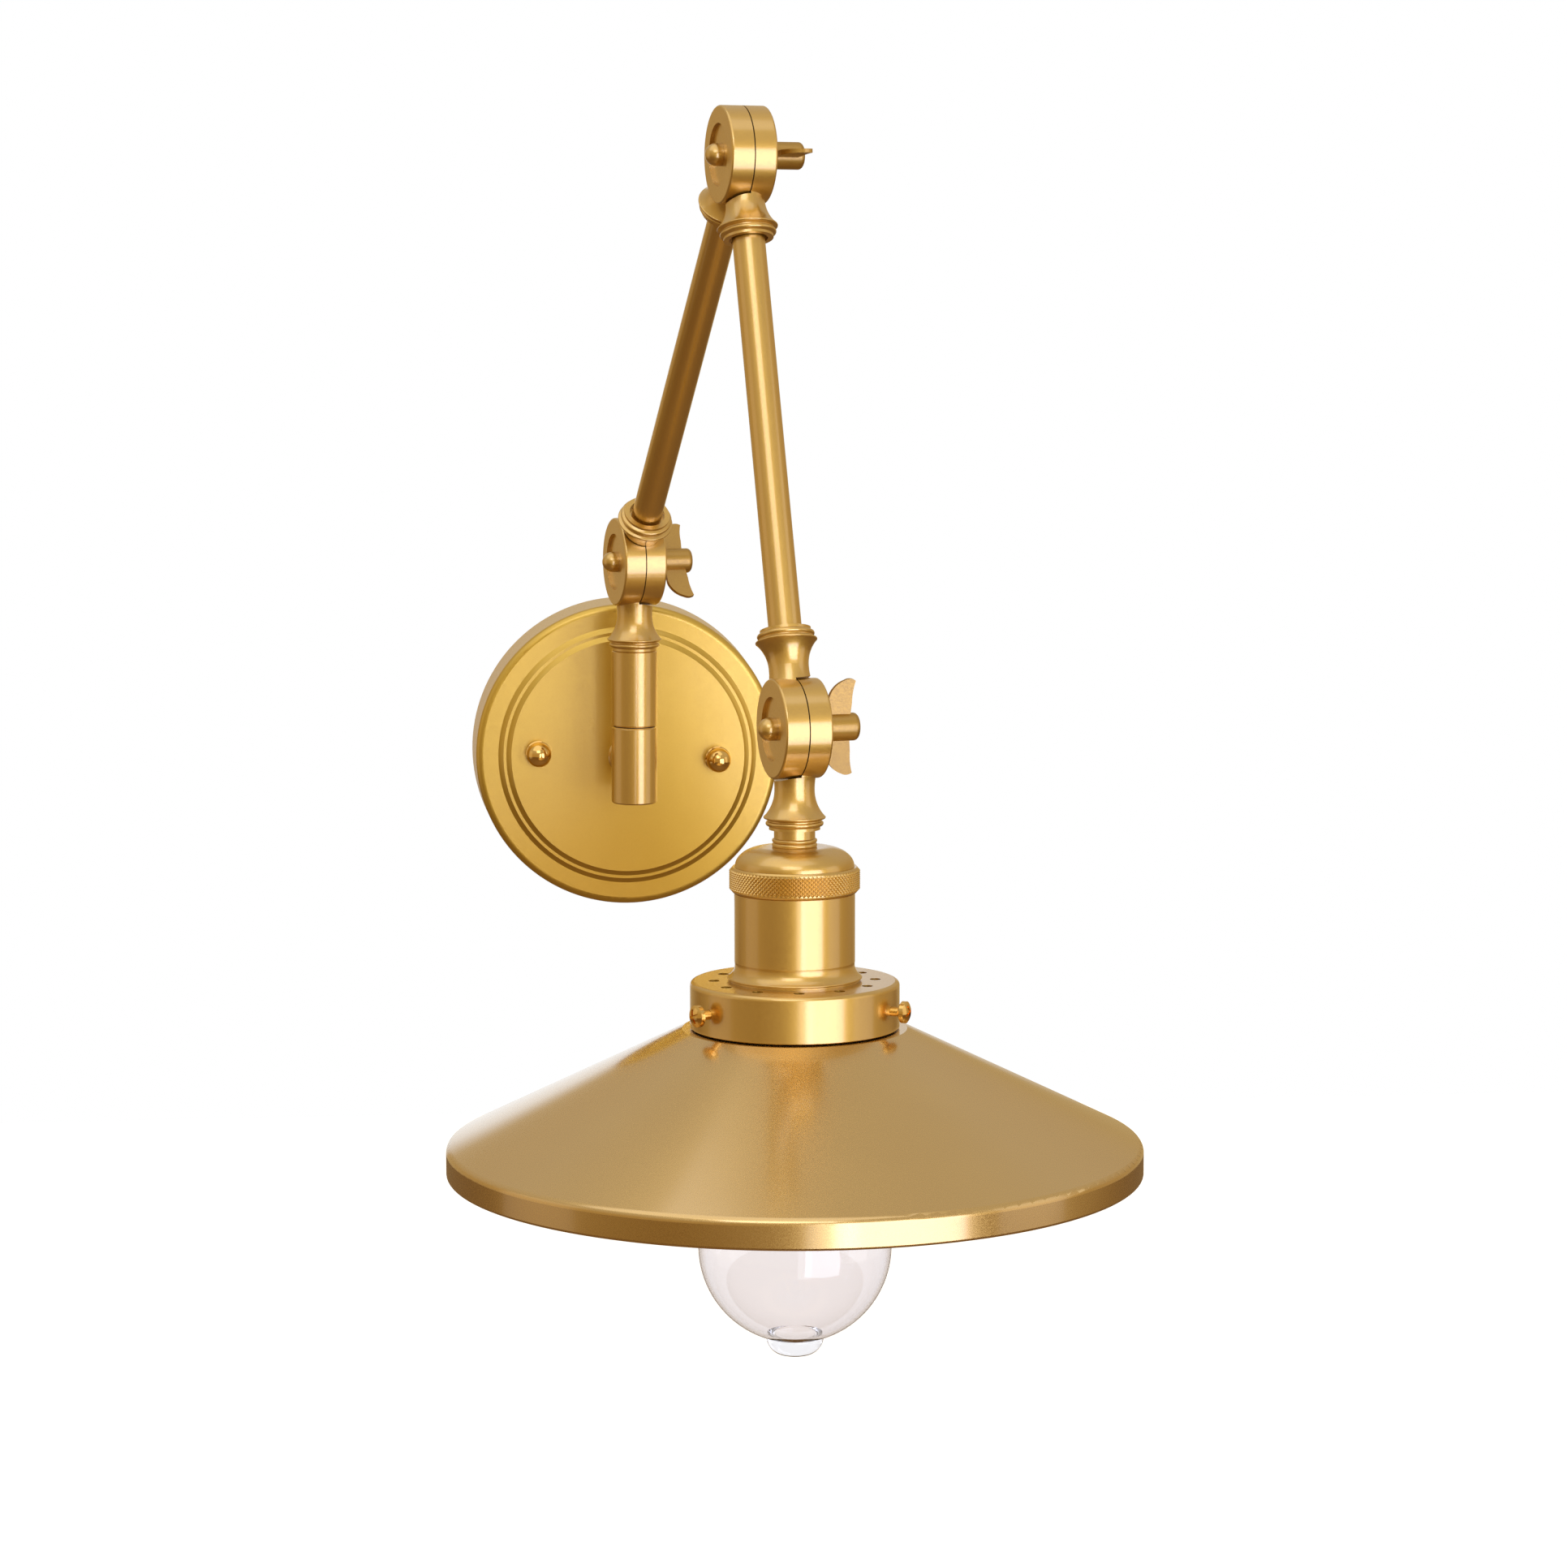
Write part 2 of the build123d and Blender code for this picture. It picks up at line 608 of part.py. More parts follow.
def wing_nut(turn):
    hub = rod(HUB_DIA, 0, HUB_LENGTH)
    hub = fillet(hub.edges().group_by(Axis.Z)[-1], HUB_EDGE)
    nut = hub + wing_solid(0) + wing_solid(180)
    nut -= rod(BOLT_DIA + 2 * SLIP, -1, HUB_LENGTH - 2.0)
    upright = Rot(turn, 0, 0) * Rot(0, 90, 0)
    return Pos(NUT_SEAT, 0, 0) * upright * nut


# ---------------------------------------------------------------- lamp holder, down its own axis
def down(steps):
    """Turned piece whose profile is given as (radius, depth below the head joint)."""
    flipped = []
    for step in steps:
        signs = (1, -1, 1, -1)[: len(step)]
        flipped.append(tuple(value * sign for value, sign in zip(step, signs)))
    return turned(flipped)


def down_rod(dia, top, bottom):
    return rod(dia, -bottom, -top)


def down_tube(outer, inner, top, bottom):
    return tube(outer, inner, -bottom, -top)


def make_head_nipple():
    """Threaded tube through the dome, with the plain collar that shows above it."""
    top = NECK_LENGTH - SOCKET_DEPTH + 0.3
    bottom = CAP_TOP + CAP_WALL + HOLDER_NUT_H + 2.0
    nipple = down_rod(NIPPLE_SPIGOT_DIA, top, bottom)
    nipple += down_rod(NIPPLE_DIA, NECK_LENGTH + SEAT, NIPPLE_COLLAR_TOP)
    nipple -= down_rod(NIPPLE_BORE, top - 1, bottom + 1)
    return HEAD_FRAME * nipple


def make_head_nipple_washer():
    r = COLLAR_DIA / 2
    top = NIPPLE_COLLAR_TOP + SEAT
    bottom = CAP_TOP - SEAT
    mid = (top + bottom) / 2
    washer = down(
        [
            (0, top),
            (r - 0.5, top),
            (r, (top + mid) / 2, r - 0.5, mid),
            (r, (bottom + mid) / 2, r - 0.2, bottom),
            (0, bottom),
        ]
    )
    washer -= down_rod(NIPPLE_SPIGOT_DIA + 2 * SLIP, top - 1, bottom + 1)
    return HEAD_FRAME * washer


def make_holder_nut():
    top = CAP_TOP + CAP_WALL + SEAT
    nut = hex_bar(HOLDER_NUT_FLATS, -(top + HOLDER_NUT_H), -top)
    nut -= down_rod(NIPPLE_SPIGOT_DIA + 2 * SLIP, top - 1, top + HOLDER_NUT_H + 1)
    return HEAD_FRAME * nut


def dome_outline(inset):
    """Flat-topped quarter-oval dome, as three arcs' worth of one ellipse."""
    flat = CAP_FLAT_DIA / 2
    reach = CAP_DIA / 2 - inset - flat
    drop = RING_TOP - CAP_TOP - inset
    foot = RING_TOP

    def on_oval(angle):
        return flat + reach * sin(radians(angle)), foot - drop * cos(radians(angle))

    return [
        (0, CAP_TOP + inset),
        (flat, CAP_TOP + inset),
        (*on_oval(15), *on_oval(30)),
        (*on_oval(45), *on_oval(60)),
        (*on_oval(75), *on_oval(90)),
    ]


def make_holder_cap():
    bottom = RING_TOP + 4.2
    skirt = SKIRT_DIA / 2
    cap = down(dome_outline(0) + [(0, RING_TOP)])
    cap += down_rod(SKIRT_DIA, RING_TOP - 0.5, bottom)
    inside = down(dome_outline(CAP_WALL) + [(0, RING_TOP)])
    cap -= inside + down_rod(2 * (skirt - CAP_WALL), RING_TOP - 0.5, bottom + 1)
    cap -= down_rod(NIPPLE_SPIGOT_DIA + 2 * SLIP, CAP_TOP - 1, CAP_TOP + CAP_WALL + 1)
    return HEAD_FRAME * cap


def make_knurled_ring():
    r = RING_DIA / 2
    bore = SKIRT_DIA / 2 + SLIP
    top = RING_TOP + SEAT
    edge = RING_EDGE
    ring = down(
        [
            (bore, top),
            (r - 2 * edge, top),
            (r - edge, top + edge / 2, r - edge / 2, top + edge),
            (r - edge / 2, RING_BOTTOM - edge),
            (r - edge, RING_BOTTOM - edge / 2, r - 2 * edge, RING_BOTTOM),
            (bore, RING_BOTTOM),
        ]
    )
    return HEAD_FRAME * ring


def make_holder_shell():
    """Barrel with a threaded skirt above and a flared foot with a small bead below."""
    r = SHELL_DIA / 2
    flare = FLARE_DIA / 2
    foot = FLARE_FOOT_DIA / 2
    top = RING_BOTTOM + SEAT
    skirt_top = top - 3.6
    bottom = GALLERY_TOP - SEAT
    outer = down(
        [
            (0, skirt_top),
            (SKIRT_DIA / 2, skirt_top),
            (SKIRT_DIA / 2, top),
            (r - 0.4, top),
            (r, top + 0.4),
            (r, FLARE_START),
            (r + 0.45, FLARE_START + 3.2, flare - 0.3, FLARE_DEPTH - 0.5),
            (flare, FLARE_DEPTH - 0.1, flare - 0.4, FLARE_DEPTH + 0.3),
            (foot, FLARE_DEPTH + 0.35),
            (foot, bottom),
            (0, bottom),
        ]
    )
    bore = 2 * (r - SHELL_WALL)
    skirt_bore = SKIRT_DIA - 2 * SHELL_WALL
    shell = outer - down_rod(skirt_bore, skirt_top - 1, bottom + 1)
    shell -= down_rod(bore, top + 1.2, bottom + 1)
    return HEAD_FRAME * shell


def make_socket_insulator():
    """Porcelain block: it hangs from the ledge of the shell's skirt and carries both contacts."""
    skirt_bore = SKIRT_DIA - 2 * SHELL_WALL
    body = down_rod(skirt_bore - 2 * SLIP, INSULATOR_TOP, INSULATOR_FLOOR)
    body = fillet(body.edges().group_by(Axis.Z)[-1], 0.8)
    body -= down_rod(TERMINAL_SPACING - TERMINAL_DIA - 1.6, INSULATOR_TOP - 1, INSULATOR_TOP + 4.0)
    for side in (-1, 1):
        body -= Pos(side * TERMINAL_SPACING / 2, 0, 0) * down_rod(
            TERMINAL_DIA + 1.4, INSULATOR_TOP - 1, INSULATOR_TOP + 2.6
        )
    body -= down_rod(3.2, INSULATOR_TOP, INSULATOR_FLOOR + 1)
    return HEAD_FRAME * body


def make_socket_screw_shell():
    top = SCREW_SHELL_TOP + SEAT
    outer = SCREW_SHELL_BORE + 2 * SCREW_SHELL_WALL
    shell = down_tube(outer, SCREW_SHELL_BORE, top, SCREW_SHELL_BOTTOM)
    shell += down_tube(outer, SCREW_SHELL_BORE - 6.0, top, top + 0.6)
    return HEAD_FRAME * shell


def make_socket_centre_contact():
    """Bent spring strip under the bulb's centre contact."""
    top = INSULATOR_FLOOR + SEAT
    strip = Box(CONTACT_WIDTH * 2.2, CONTACT_WIDTH * 0.7, CONTACT_THICK)
    foot = Pos(0, 0, -(top + CONTACT_THICK / 2)) * strip
    rise = BULB_CONTACT_TOP - top - SLIP
    stem = Pos(0, 0, -(top + rise / 2)) * Box(CONTACT_WIDTH * 0.5, CONTACT_WIDTH * 0.7, rise)
    return HEAD_FRAME * (foot + stem)


def make_socket_terminal_screws():
    low = INSULATOR_TOP + 2.6 - SEAT
    screw = down_rod(TERMINAL_DIA, low - 1.6, low)
    screw -= Pos(0, 0, -(low - 1.6)) * Box(TERMINAL_DIA * 1.4, 0.8, 1.4)
    places = [Pos(side * TERMINAL_SPACING / 2, 0, 0) for side in (-1, 1)]
    return Compound([HEAD_FRAME * place * screw for place in places])


def screw_direction(angle):
    """Rotation that turns +X to a thumb screw's outward direction."""
    return Rot(0, 0, angle)


def make_gallery():
    """Pressed cup under the holder: vented top, plain side, three holes for the thumb screws."""
    r = GALLERY_DIA / 2
    edge = GALLERY_EDGE_R
    inner = r - GALLERY_WALL
    corner = edge * (1 - cos(pi / 4))
    cup = down(
        [
            (0, GALLERY_TOP),
            (r - edge, GALLERY_TOP),
            (r - corner, GALLERY_TOP + corner, r, GALLERY_TOP + edge),
            (r, GALLERY_BOTTOM - 0.3),
            (r - 0.3, GALLERY_BOTTOM),
            (inner, GALLERY_BOTTOM),
            (inner, GALLERY_TOP + GALLERY_WALL),
            (0, GALLERY_TOP + GALLERY_WALL),
        ]
    )
    cup -= down_rod(SHELL_DIA - 2 * SHELL_WALL, GALLERY_TOP - 1, GALLERY_TOP + GALLERY_WALL + 1)
    vent = down_rod(VENT_DIA, GALLERY_TOP - 1, GALLERY_TOP + GALLERY_WALL + 1)
    for i in range(VENT_COUNT):
        spot = Rot(0, 0, (i + 0.5) * 360 / VENT_COUNT) * Pos(VENT_CIRCLE_DIA / 2, 0, 0)
        cup -= spot * vent
    hole = Pos(0, 0, -SCREW_DEPTH) * along_x(rod(SCREW_SHANK_DIA + 2 * SLIP, inner - 1, r + 1))
    for angle in SCREW_ANGLES:
        cup -= screw_direction(angle) * hole
    return HEAD_FRAME * cup


def thumb_screw(angle):
    """Cross-slotted screw that reaches through the gallery to the shade's neck."""
    tip = SHADE_NECK_DIA / 2 + BODY_GAP
    head_end = SCREW_HEAD_IN + SCREW_HEAD_H
    r = SCREW_HEAD_DIA / 2
    head = turned(
        [
            (0, SCREW_HEAD_IN),
            (r - 0.8, SCREW_HEAD_IN),
            (r, SCREW_HEAD_IN + 0.6),
            (r, head_end - 1.2),
            cap_arc(r, head_end - 1.2, head_end),
        ]
    )
    shank = rod(SCREW_SHANK_DIA, tip, SCREW_HEAD_IN + 0.5)
    screw = head + chamfer(shank.edges().group_by(Axis.Z)[0], 0.5)
    for turn in (0, 90):
        slot = Box(SCREW_HEAD_DIA * 0.66, SCREW_SLOT_W, 2 * SCREW_SLOT_DEPTH)
        screw -= Pos(0, 0, head_end) * Rot(0, 0, turn + 20) * slot
    return HEAD_FRAME * screw_direction(angle) * Pos(0, 0, -SCREW_DEPTH) * along_x(screw)


# ---------------------------------------------------------------- shade and bulb
def make_shade():
    """Spun shade: neck with a lip, flat shoulder, straight cone, upright rim and rolled hem."""
    wall = SHADE_WALL
    neck = SHADE_NECK_DIA / 2
    rim = SHADE_DIA / 2
    shoulder = SHADE_SHOULDER_DIA / 2
    slope = atan2(SHADE_CORNER - SHADE_SHOULDER, rim - shoulder)
    setback = SHADE_CORNER_R * tan((pi / 2 - slope) / 2)
    on_cone = (rim - setback * cos(slope), SHADE_CORNER - setback * sin(slope))
    on_rim = (rim, SHADE_CORNER + setback)
    centre = (rim - SHADE_CORNER_R, SHADE_CORNER + setback)
    bisector = (pi / 2 - slope) / 2
    mid = (
        centre[0] + SHADE_CORNER_R * cos(bisector),
        centre[1] - SHADE_CORNER_R * sin(bisector),
    )
    drop = wall / cos(slope)
    hem = SHADE_HEM
    inner_shoulder = shoulder - wall * tan(slope / 2)
    inner_corner = SHADE_CORNER + drop - wall * tan(slope)
    profile = [
        (neck - wall, SHADE_NECK_TOP),
        (neck + SHADE_LIP - 0.4, SHADE_NECK_TOP),
        (neck + SHADE_LIP, SHADE_NECK_TOP + 0.6, neck + SHADE_LIP - 0.4, SHADE_NECK_TOP + 1.2),
        (neck, SHADE_NECK_TOP + 1.6),
        (neck, SHADE_SHOULDER - 0.8),
        (neck + 0.25, SHADE_SHOULDER - 0.25, neck + 0.8, SHADE_SHOULDER),
        (shoulder, SHADE_SHOULDER),
        on_cone,
        (*mid, *on_rim),
        (rim, SHADE_BOTTOM - hem / 2),
        (rim - 0.3, SHADE_BOTTOM - 0.25, rim - hem / 2, SHADE_BOTTOM),
        (rim - hem + 0.3, SHADE_BOTTOM - 0.25, rim - hem, SHADE_BOTTOM - hem / 2),
        (rim - hem + 0.3, SHADE_BOTTOM - hem + 0.1, rim - wall, SHADE_BOTTOM - hem - 0.1),
        (rim - wall, inner_corner),
        (inner_shoulder, SHADE_SHOULDER + wall),
        (neck - wall, SHADE_SHOULDER + wall),
    ]
    return HEAD_FRAME * down(profile)


def bulb_outline(inset):
    """Teardrop bulb: straight neck, long taper, round end."""
    ball = BULB_DIA / 2 - inset
    neck = BULB_NECK_DIA / 2 - inset
    shoulder = BULB_NECK + 5.0
    lift = radians(22)  # where the taper meets the ball, above its centre
    join = (ball * cos(lift), BULB_CENTRE - ball * sin(lift))
    below = (ball * cos(lift), BULB_CENTRE + ball * sin(lift))
    taper_mid = ((neck + join[0]) / 2 - 1.6, (shoulder + join[1]) / 2)
    return [
        (neck, BULB_NECK),
        (neck, shoulder),
        (*taper_mid, *join),
        (ball, BULB_CENTRE, *below),
        cap_arc(*below, BULB_CENTRE + ball),
    ]


def make_bulb_glass():
    glass = down([(0, BULB_NECK)] + bulb_outline(0))
    hollow_top = BULB_NECK + BULB_WALL
    hollow = down([(0, BULB_NECK)] + bulb_outline(BULB_WALL))
    hollow -= down_rod(BULB_DIA, BULB_NECK - 1, hollow_top)
    ball_end = BULB_CENTRE + BULB_DIA / 2
    nub = BULB_NUB_DIA / 2
    glass += down(
        [
            (0, ball_end - 3.0),
            (nub, ball_end - 3.0),
            (nub, ball_end - 0.9),
            (nub * 0.93, ball_end + 1.6, nub * 0.62, BULB_TIP - 1.0),
            cap_arc(nub * 0.62, BULB_TIP - 1.0, BULB_TIP),
        ]
    )
    return HEAD_FRAME * (glass - hollow)


def make_bulb_screw_cap():
    """Metal cap: a skirt round the glass neck, then the threaded part of standard size."""
    r = BULB_CAP_DIA / 2
    wall = BULB_CAP_WALL
    skirt = BULB_NECK_DIA / 2
    outer = [
        (0, BULB_CAP_TOP),
        (r - 3.0, BULB_CAP_TOP),
        (r, BULB_CAP_TOP + 3.0),
        (r, BULB_CAP_BOTTOM - 5.0),
        (r + 0.6, BULB_CAP_BOTTOM - 1.6),
        (skirt - 2.0, BULB_NECK - SEAT),
        (0, BULB_NECK - SEAT),
    ]
    cap = down(outer)
    cap -= down_rod(2 * (r - wall), BULB_CAP_TOP + 3.0, BULB_NECK + 1)
    cap -= down_rod(2 * (r - 3.4), BULB_CAP_TOP - 1, BULB_CAP_TOP + 4.0)
    return HEAD_FRAME * cap


def make_bulb_insulator():
    r = BULB_CAP_DIA / 2 - 3.4 - SLIP
    top = BULB_CONTACT_TOP + 1.0
    block = down(
        [
            (0, top + SEAT),
            (BULB_CONTACT_DIA / 2, top + SEAT),
            (r, BULB_CAP_TOP + 0.6),
            (r, BULB_CAP_TOP + 3.6),
            (0, BULB_CAP_TOP + 3.6),
        ]
    )
    return HEAD_FRAME * block


def make_bulb_contact():
    r = BULB_CONTACT_DIA / 2
    top = BULB_CONTACT_TOP
    button = down([(0, top), (r - 1.2, top), (r, top + 0.7), (r, top + 1.0), (0, top + 1.0)])
    return HEAD_FRAME * button


def make_bulb_stem():
    """Glass stem with a flared foot on the neck's floor and a small ball at its end."""
    foot = BULB_NECK + BULB_WALL + SEAT
    r = STEM_DIA / 2
    stem = down(
        [
            (0, foot),
            (r * 2.4, foot),
            (r * 2.4, foot + 0.8),
            (r * 1.1, foot + 4.0, r, foot + 12.0),
            (r * 0.6, foot + 20.0),
            (r * 0.6, STEM_BOTTOM - 3.0),
            cap_arc(r * 0.6, STEM_BOTTOM - 3.0, STEM_BOTTOM),
        ]
    )
    return HEAD_FRAME * stem


def make_bulb_filament():
    """Upright filament sticks round the stem, each with a short lead at both ends."""
    sticks = []
    top = FILAMENT_TOP
    ring = FILAMENT_RING_DIA / 2
    r = STEM_DIA * 0.3
    for i in range(FILAMENT_COUNT):
        stick = Pos(ring, 0, 0) * down_rod(FILAMENT_DIA, top, top + FILAMENT_LENGTH)
        for depth in (top + 0.6, top + FILAMENT_LENGTH - 0.6):
            lead = along_x(rod(0.6, r + SEAT, ring))
            stick += Pos(0, 0, -depth) * lead
        sticks.append(HEAD_FRAME * Rot(0, 0, 45 + i * 360 / FILAMENT_COUNT) * stick)
    return Compound(sticks)


# ---------------------------------------------------------------- build every node
keep("backplate", make_backplate())
keep("mounting_bar", make_mounting_bar())
keep("mounting_studs", make_studs())
keep("stud_lock_nuts", make_stud_lock_nuts())
keep("cap_nuts", make_cap_nuts())
keep("ground_screw", make_ground_screw())
keep("post_nipple", make_post_nipple())
keep("post_star_washer", make_post_star_washer())
keep("post_lock_nut", make_post_lock_nut())
keep("swivel_base", make_swivel_base())
keep("swivel_plug", make_swivel_plug())
keep("swivel_washer", make_swivel_washer())
keep("swivel_sleeve", make_swivel_sleeve())
keep("swivel_spindle", make_swivel_spindle())
keep("swivel_retainer", make_swivel_retainer())

# each joint: its centre, then the direction and length of the left and the right half's neck
JOINTS = {
    "base": (BASE_JOINT, (-UP, NECK_LENGTH), (LOWER_DIR, LOWER_NECK_LENGTH)),
    "elbow": (ELBOW_JOINT, (-LOWER_DIR, LOWER_NECK_LENGTH), (UPPER_DIR, UPPER_NECK_LENGTH)),
    "head": (HEAD_JOINT, (-UPPER_DIR, NECK_LENGTH), (HEAD_DIR, NECK_LENGTH)),
}
for joint_name, (centre, left_neck, right_neck) in JOINTS.items():
    square = standing(centre, UP)
    for side_name, side, (direction, length) in (("left", -1, left_neck), ("right", 1, right_neck)):
        half = standing(centre, direction) * knuckle_half(side, length)
        keep(f"{joint_name}_knuckle_{side_name}", half)
    keep(f"{joint_name}_bolt", square * joint_bolt())
    keep(f"{joint_name}_friction_washer", square * friction_washer())
    keep(f"{joint_name}_wing_washer", square * wing_washer())
    keep(f"{joint_name}_wing_nut", square * wing_nut(WING_TURN[joint_name]))
keep("lower_arm_tube", arm_tube(BASE_JOINT, LOWER_DIR, LOWER_NECK_LENGTH, LOWER_NECK_LENGTH))
keep("upper_arm_tube", arm_tube(ELBOW_JOINT, UPPER_DIR, UPPER_NECK_LENGTH, NECK_LENGTH))

keep("head_nipple", make_head_nipple())
keep("head_nipple_washer", make_head_nipple_washer())
keep("holder_nut", make_holder_nut())
keep("holder_cap", make_holder_cap())
keep("knurled_ring", make_knurled_ring())
keep("holder_shell", make_holder_shell())
keep("socket_insulator", make_socket_insulator())
keep("socket_screw_shell", make_socket_screw_shell())
keep("socket_centre_contact", make_socket_centre_contact())
keep("socket_terminal_screws", make_socket_terminal_screws())
keep("gallery", make_gallery())
for number, screw_angle in enumerate(SCREW_ANGLES, start=1):
    keep(f"shade_screw_{number}", thumb_screw(screw_angle))
keep("shade", make_shade())
keep("bulb_glass", make_bulb_glass())
keep("bulb_screw_cap", make_bulb_screw_cap())
keep("bulb_insulator", make_bulb_insulator())
keep("bulb_contact", make_bulb_contact())
keep("bulb_stem", make_bulb_stem())
keep("bulb_filament", make_bulb_filament())

os.makedirs("parts", exist_ok=True)
for node, shape in NODES.items():
    export_step(shape, f"parts/{node}.step")
print(len(NODES), "nodes; joints at", BASE_JOINT, ELBOW_JOINT, HEAD_JOINT)
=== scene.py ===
import json
import math

import bmesh
import bpy
from mathutils import Matrix, Vector


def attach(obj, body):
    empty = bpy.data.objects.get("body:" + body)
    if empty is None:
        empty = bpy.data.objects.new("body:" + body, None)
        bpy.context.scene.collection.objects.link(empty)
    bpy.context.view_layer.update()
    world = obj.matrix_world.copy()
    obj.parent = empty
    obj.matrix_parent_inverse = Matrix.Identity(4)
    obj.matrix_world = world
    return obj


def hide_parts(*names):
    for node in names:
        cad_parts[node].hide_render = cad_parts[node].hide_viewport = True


# Looks of the articulating wall lamp. Lengths are in metres: +X runs right along the wall,
# +Y into the wall and +Z up, and the lamp stands out towards -Y.

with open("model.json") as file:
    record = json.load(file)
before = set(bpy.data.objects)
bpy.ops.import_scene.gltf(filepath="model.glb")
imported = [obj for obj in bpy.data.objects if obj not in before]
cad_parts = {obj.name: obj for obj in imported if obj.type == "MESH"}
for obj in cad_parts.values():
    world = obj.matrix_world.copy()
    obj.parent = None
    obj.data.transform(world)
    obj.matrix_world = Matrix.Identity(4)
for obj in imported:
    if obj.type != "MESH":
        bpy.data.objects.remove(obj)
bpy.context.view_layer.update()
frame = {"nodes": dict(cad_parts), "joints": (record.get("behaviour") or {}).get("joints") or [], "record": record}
nodes = frame["nodes"]
slot_of_node = {entry["node"]: entry["material_slot"] for entry in frame["record"]["subparts"]}

# ---------------------------------------------------------------- camera
IMAGE_WIDTH = 1931
IMAGE_HEIGHT = 1932
FOCAL_PX = 4571.0
SENSOR_MM = 36.0
CLIP_NEAR = 0.05
CLIP_FAR = 50
CAMERA_PLACE = Vector((-0.1087, -1.4382, 0.1870))
CAMERA_YAW = math.radians(6.83)  # towards +X
CAMERA_PITCH = math.radians(7.96)  # downwards
CAMERA_ROLL = math.radians(0.40)


def add_camera():
    look = Vector(
        (
            math.sin(CAMERA_YAW) * math.cos(CAMERA_PITCH),
            math.cos(CAMERA_YAW) * math.cos(CAMERA_PITCH),
            -math.sin(CAMERA_PITCH),
        )
    )
    level_right = Vector((math.cos(CAMERA_YAW), -math.sin(CAMERA_YAW), 0))
    level_up = level_right.cross(look)
    right = level_right * math.cos(CAMERA_ROLL) + level_up * math.sin(CAMERA_ROLL)
    up = level_up * math.cos(CAMERA_ROLL) - level_right * math.sin(CAMERA_ROLL)
    data = bpy.data.cameras.new("camera")
    data.sensor_fit = "AUTO"
    data.sensor_width = SENSOR_MM
    data.lens = FOCAL_PX * SENSOR_MM / max(IMAGE_WIDTH, IMAGE_HEIGHT)
    data.clip_start = CLIP_NEAR
    data.clip_end = CLIP_FAR
    camera = bpy.data.objects.new("camera", data)
    turn = Matrix((right, up, -look)).transposed().to_4x4()
    camera.matrix_world = Matrix.Translation(CAMERA_PLACE) @ turn
    bpy.context.scene.collection.objects.link(camera)
    bpy.context.scene.camera = camera


# ---------------------------------------------------------------- node helpers
NOISE_LOW = 0.35  # smooth noise lies mostly between these two
NOISE_HIGH = 0.65
SPECK_CORE = 0.4  # part of a speck's radius that it fills evenly

# Sockets of a Mix node that mixes colours.
MIX_SHARE = 0
MIX_FIRST = 6
MIX_SECOND = 7
MIX_RESULT = 2


def new_material(name):
    material = bpy.data.materials.new(name)
    material.use_nodes = True
    tree = material.node_tree
    return material, tree, tree.nodes["Principled BSDF"]


def add_node(tree, kind, **values):
    node = tree.nodes.new(kind)
    for key, value in values.items():
        setattr(node, key, value)
    return node


def feed(tree, socket, value):
    """Link a socket to another one, or set it to a number."""
    if isinstance(value, (int, float)):
        socket.default_value = value
    else:
        tree.links.new(value, socket)


def combine(tree, operation, first, second):
    """Result of a sum, product or comparison; first and second are sockets or numbers."""
    node = add_node(tree, "ShaderNodeMath", operation=operation)
    feed(tree, node.inputs[0], first)
    feed(tree, node.inputs[1], second)
    return node.outputs["Value"]


def value_range(tree, fac, low, high, from_low=NOISE_LOW, from_high=NOISE_HIGH):
    """fac brought from one range to another and kept within it."""
    node = add_node(tree, "ShaderNodeMapRange")
    node.inputs["From Min"].default_value = from_low
    node.inputs["From Max"].default_value = from_high
    node.inputs["To Min"].default_value = low
    node.inputs["To Max"].default_value = high
    tree.links.new(fac, node.inputs["Value"])
    return node.outputs["Result"]


def two_tones(tree, fac, first, second, start=0.3, end=0.7):
    """Colour that goes from first to second while fac goes from start to end."""
    node = add_node(tree, "ShaderNodeValToRGB")
    low, high = node.color_ramp.elements
    low.position, low.color = start, (*first, 1.0)
    high.position, high.color = end, (*second, 1.0)
    tree.links.new(fac, node.inputs["Fac"])
    return node.outputs["Color"]


def mix_colours(tree, blend_type, share, first, second):
    """The socket first, mixed with the plain colour second by the socket share."""
    node = add_node(tree, "ShaderNodeMix", data_type="RGBA", blend_type=blend_type)
    tree.links.new(share, node.inputs[MIX_SHARE])
    tree.links.new(first, node.inputs[MIX_FIRST])
    node.inputs[MIX_SECOND].default_value = second
    return node.outputs[MIX_RESULT]


def place(tree):
    """Position on the lamp in metres, which moves with the piece."""
    return add_node(tree, "ShaderNodeTexCoord").outputs["Object"]


def noise(tree, size, detail=3.0, roughness=0.6):
    """Smooth noise whose lumps measure about size, in metres."""
    texture = add_node(tree, "ShaderNodeTexNoise")
    texture.inputs["Scale"].default_value = 1 / size
    texture.inputs["Detail"].default_value = detail
    texture.inputs["Roughness"].default_value = roughness
    tree.links.new(place(tree), texture.inputs["Vector"])
    return texture.outputs["Fac"]


def specks(tree, spacing, radius, share):
    """1 inside round specks, on that share of the cells of that spacing, and 0 elsewhere."""
    cells = add_node(tree, "ShaderNodeTexVoronoi")
    cells.inputs["Scale"].default_value = 1 / spacing
    tree.links.new(place(tree), cells.inputs["Vector"])
    split = add_node(tree, "ShaderNodeSeparateColor")
    tree.links.new(cells.outputs["Color"], split.inputs["Color"])
    chosen = combine(tree, "LESS_THAN", split.outputs["Red"], share)
    edge = radius / spacing
    inside = value_range(tree, cells.outputs["Distance"], 1.0, 0.0, SPECK_CORE * edge, edge)
    return combine(tree, "MULTIPLY", chosen, inside)


def uneven(tree, fac, roughness, spread):
    """Roughness times the first value of spread where fac is low, and the second where high."""
    return value_range(tree, fac, roughness * spread[0], roughness * spread[1])


